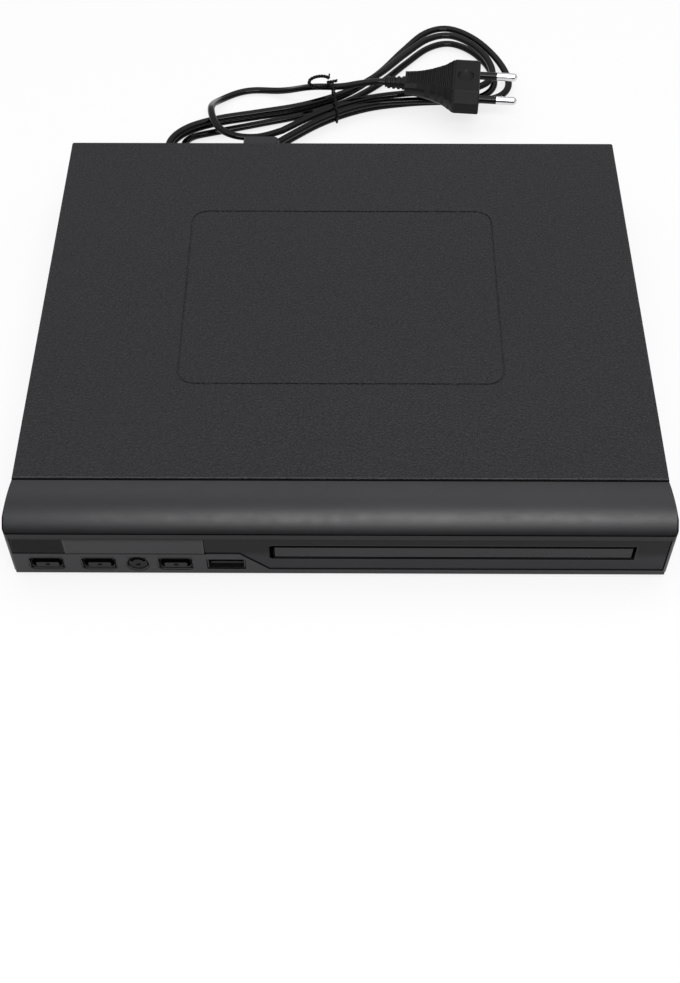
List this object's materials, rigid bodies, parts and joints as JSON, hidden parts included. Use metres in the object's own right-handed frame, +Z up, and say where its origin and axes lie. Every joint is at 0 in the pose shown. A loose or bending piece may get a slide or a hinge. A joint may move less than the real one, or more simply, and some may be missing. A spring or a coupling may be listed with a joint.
{
  "type": "mini dvd player",
  "caption": "Flat front-loading disc player: folded cover, hooded front with window, buttons and tray, working loader and traverse, rear jacks, and a plugged-in mains lead tied in a hank.",
  "frame": {"origin": "centre of the player's footprint on the surface it stands on, without the lead", "axes": "+X to the right along the front as one faces it, +Y from the front to the rear jacks, +Z up"},
  "size_m": [0.2544, 0.3512, 0.037],
  "materials": {
    "cover_black": "fine leather-like texture, satin",
    "front_black": "smooth satin",
    "panel_gloss": "high gloss",
    "window_dark": "high gloss",
    "button_grey": "satin",
    "rubber_black": "matt",
    "steel": "zinc plated",
    "steel_dark": "satin black",
    "steel_bright": "polished",
    "screw_dark": "blackened",
    "board_green": "solder mask",
    "board_tan": "phenolic board",
    "chip": "moulded",
    "can_blue": "sleeved",
    "winding": "taped",
    "fuse_glass": "clear",
    "aluminium": "plain",
    "plastic_black": "moulded",
    "yellow": "moulded",
    "white": "moulded",
    "red": "moulded",
    "frame_grey": "moulded",
    "belt_rubber": "matt",
    "natural": "moulded",
    "tray_black": "fine texture",
    "lens": "coated",
    "ribbon": "satin",
    "cord_black": "soft sheen",
    "tie_black": "plain"
  },
  "bodies": {
    "case": {"bottom_chassis": "steel", "rear_panel": "steel_dark", "top_cover": "cover_black", "front_bezel": "front_black", "front_panel": "panel_gloss", "receiver_window": "window_dark", "rubber_feet": "rubber_black", "case_screws": "screw_dark", "main_board": "board_green", "board_chips": "chip", "board_capacitors": "can_blue", "power_board": "board_tan", "transformer": "winding", "power_capacitors": "can_blue", "fuse": "fuse_glass", "heat_sink": "aluminium", "power_inlet": "plastic_black", "inlet_pins": "steel_bright", "jack_block": "plastic_black", "jack_yellow": "yellow", "jack_white": "white", "jack_red": "red", "jack_barrels": "steel_bright", "key_board": "board_tan", "tact_switches": "chip", "infrared_receiver": "chip", "usb_port": "steel", "ribbon_cable": "ribbon", "loader_frame": "frame_grey", "clamp_bridge": "steel", "loading_motor": "steel", "drive_belt": "belt_rubber", "board_screws": "steel", "cord_connector": "plastic_black", "cord_lead": "cord_black", "cord_hank": "cord_black", "cord_tail": "cord_black", "cord_tie": "tie_black", "plug_body": "plastic_black", "plug_pins": "steel_bright"},
    "tray": {"disc_tray": "tray_black", "tray_door": "panel_gloss"},
    "tray_gear": {"tray_gear": "natural"},
    "pulley_gear": {"pulley_gear": "natural"},
    "motor_pulley": {"motor_pulley": "natural"},
    "cam": {"cam_slider": "natural"},
    "traverse": {"traverse_plate": "steel", "guide_rods": "steel_bright", "spindle_motor": "steel", "feed_motor": "steel"},
    "turntable": {"turntable": "plastic_black", "turntable_mat": "rubber_black"},
    "clamper": {"clamper": "natural"},
    "sled": {"pickup_sled": "aluminium", "pickup_lens": "lens"},
    "lead_screw": {"lead_screw": "steel_bright"},
    "power_button": {"power_button": "button_grey"},
    "left_button": {"left_button": "button_grey"},
    "round_button": {"round_button": "button_grey"},
    "right_button": {"right_button": "button_grey"}
  },
  "joints": [
    {"name": "tray_slide", "type": "slide", "parent": "case", "child": "tray", "axis": [0, -1, 0], "range_m": [0, 0.127]},
    {"name": "tray_gear_turn", "type": "hinge", "parent": "case", "child": "tray_gear", "pos_m": [-0.00445, -0.093, 0.0096], "axis": [0, 0, 1], "range_deg": [0, 1301]},
    {"name": "pulley_gear_turn", "type": "hinge", "parent": "case", "child": "pulley_gear", "pos_m": [0.01461, -0.09032, 0.0074], "axis": [0, 0, 1], "range_deg": [-3901, 0]},
    {"name": "motor_pulley_turn", "type": "hinge", "parent": "case", "child": "motor_pulley", "pos_m": [-0.044, -0.083, 0.0074], "axis": [0, 0, 1], "range_deg": [-14299, 0]},
    {"name": "traverse_tip", "type": "hinge", "parent": "case", "child": "traverse", "pos_m": [0.0434, 0.0407, 0.0094], "axis": [1, 0, 0], "range_deg": [0, 3.2]},
    {"name": "cam_slide", "type": "slide", "parent": "case", "child": "cam", "axis": [-1, 0, 0], "range_m": [0, 0.01201]},
    {"name": "turntable_spin", "type": "hinge", "parent": "traverse", "child": "turntable", "pos_m": [0.0434, -0.0443, 0.017], "axis": [0, 0, 1], "continuous": true},
    {"name": "clamper_spin", "type": "hinge", "parent": "case", "child": "clamper", "pos_m": [0.0434, -0.0443, 0.022], "axis": [0, 0, 1], "continuous": true},
    {"name": "sled_slide", "type": "slide", "parent": "traverse", "child": "sled", "axis": [0, 1, 0], "range_m": [0, 0.034]},
    {"name": "lead_screw_turn", "type": "hinge", "parent": "traverse", "child": "lead_screw", "pos_m": [0.068, 0.01, 0.00966], "axis": [0, 1, 0], "range_deg": [0, 4081]},
    {"name": "power_press", "type": "slide", "parent": "case", "child": "power_button", "axis": [0, 1, 0], "range_m": [0, 0.0006], "stiffness_N_per_m": 400},
    {"name": "left_press", "type": "slide", "parent": "case", "child": "left_button", "axis": [0, 1, 0], "range_m": [0, 0.0006], "stiffness_N_per_m": 400},
    {"name": "round_press", "type": "slide", "parent": "case", "child": "round_button", "axis": [0, 1, 0], "range_m": [0, 0.0006], "stiffness_N_per_m": 400},
    {"name": "right_press", "type": "slide", "parent": "case", "child": "right_button", "axis": [0, 1, 0], "range_m": [0, 0.0006], "stiffness_N_per_m": 400}
  ],
  "couplings": [
    {"joint": "tray_gear_turn", "follows": "tray_slide", "rad_per_m": 178.57},
    {"joint": "pulley_gear_turn", "follows": "tray_slide", "rad_per_m": -535.71},
    {"joint": "motor_pulley_turn", "follows": "tray_slide", "rad_per_m": -1964.3},
    {"joint": "cam_slide", "follows": "traverse_tip", "m_per_rad": 0.21486},
    {"joint": "clamper_spin", "follows": "turntable_spin", "ratio": 1},
    {"joint": "lead_screw_turn", "follows": "sled_slide", "rad_per_m": 2094.4}
  ]
}
